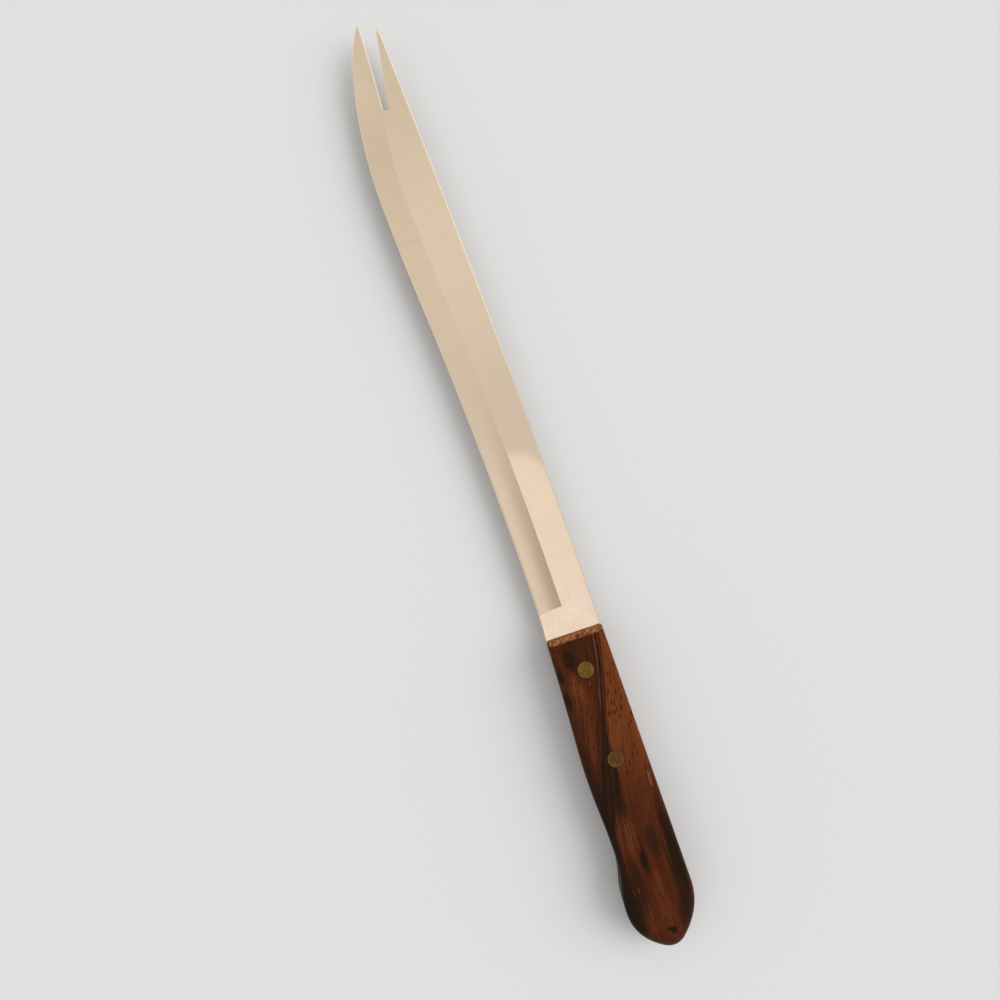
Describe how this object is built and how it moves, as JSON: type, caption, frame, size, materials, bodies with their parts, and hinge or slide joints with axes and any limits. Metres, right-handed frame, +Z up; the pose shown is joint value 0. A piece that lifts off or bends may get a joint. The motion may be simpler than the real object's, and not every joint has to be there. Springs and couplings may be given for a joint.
{
  "type": "carving knife",
  "caption": "Carving and slicing knife: a long hollow-ground steel blade with a recurved edge and a forked serving tip, in a hooked hardwood handle held by flush brass rivets.",
  "frame": {"origin": "middle of the knife's length and depth, at the level of the handle's lower cheek, with the knife lying level on its side", "axes": "+X from the fork to the butt, +Y from the cutting edge to the spine, +Z up from the lower cheek to the upper one"},
  "size_m": [0.3426, 0.0273, 0.015],
  "materials": {
    "steel": "satin polish, with fine grinding lines across the hollow grind",
    "hardwood": "worn satin oil finish, dark veined reddish brown",
    "brass": "aged, ground flush with the wood"
  },
  "bodies": {
    "root": {"blade": "steel", "handle": "hardwood", "front_rivet_tube": "brass", "front_rivet_pin": "brass", "rear_rivet_tube": "brass", "rear_rivet_pin": "brass"}
  },
  "joints": []
}
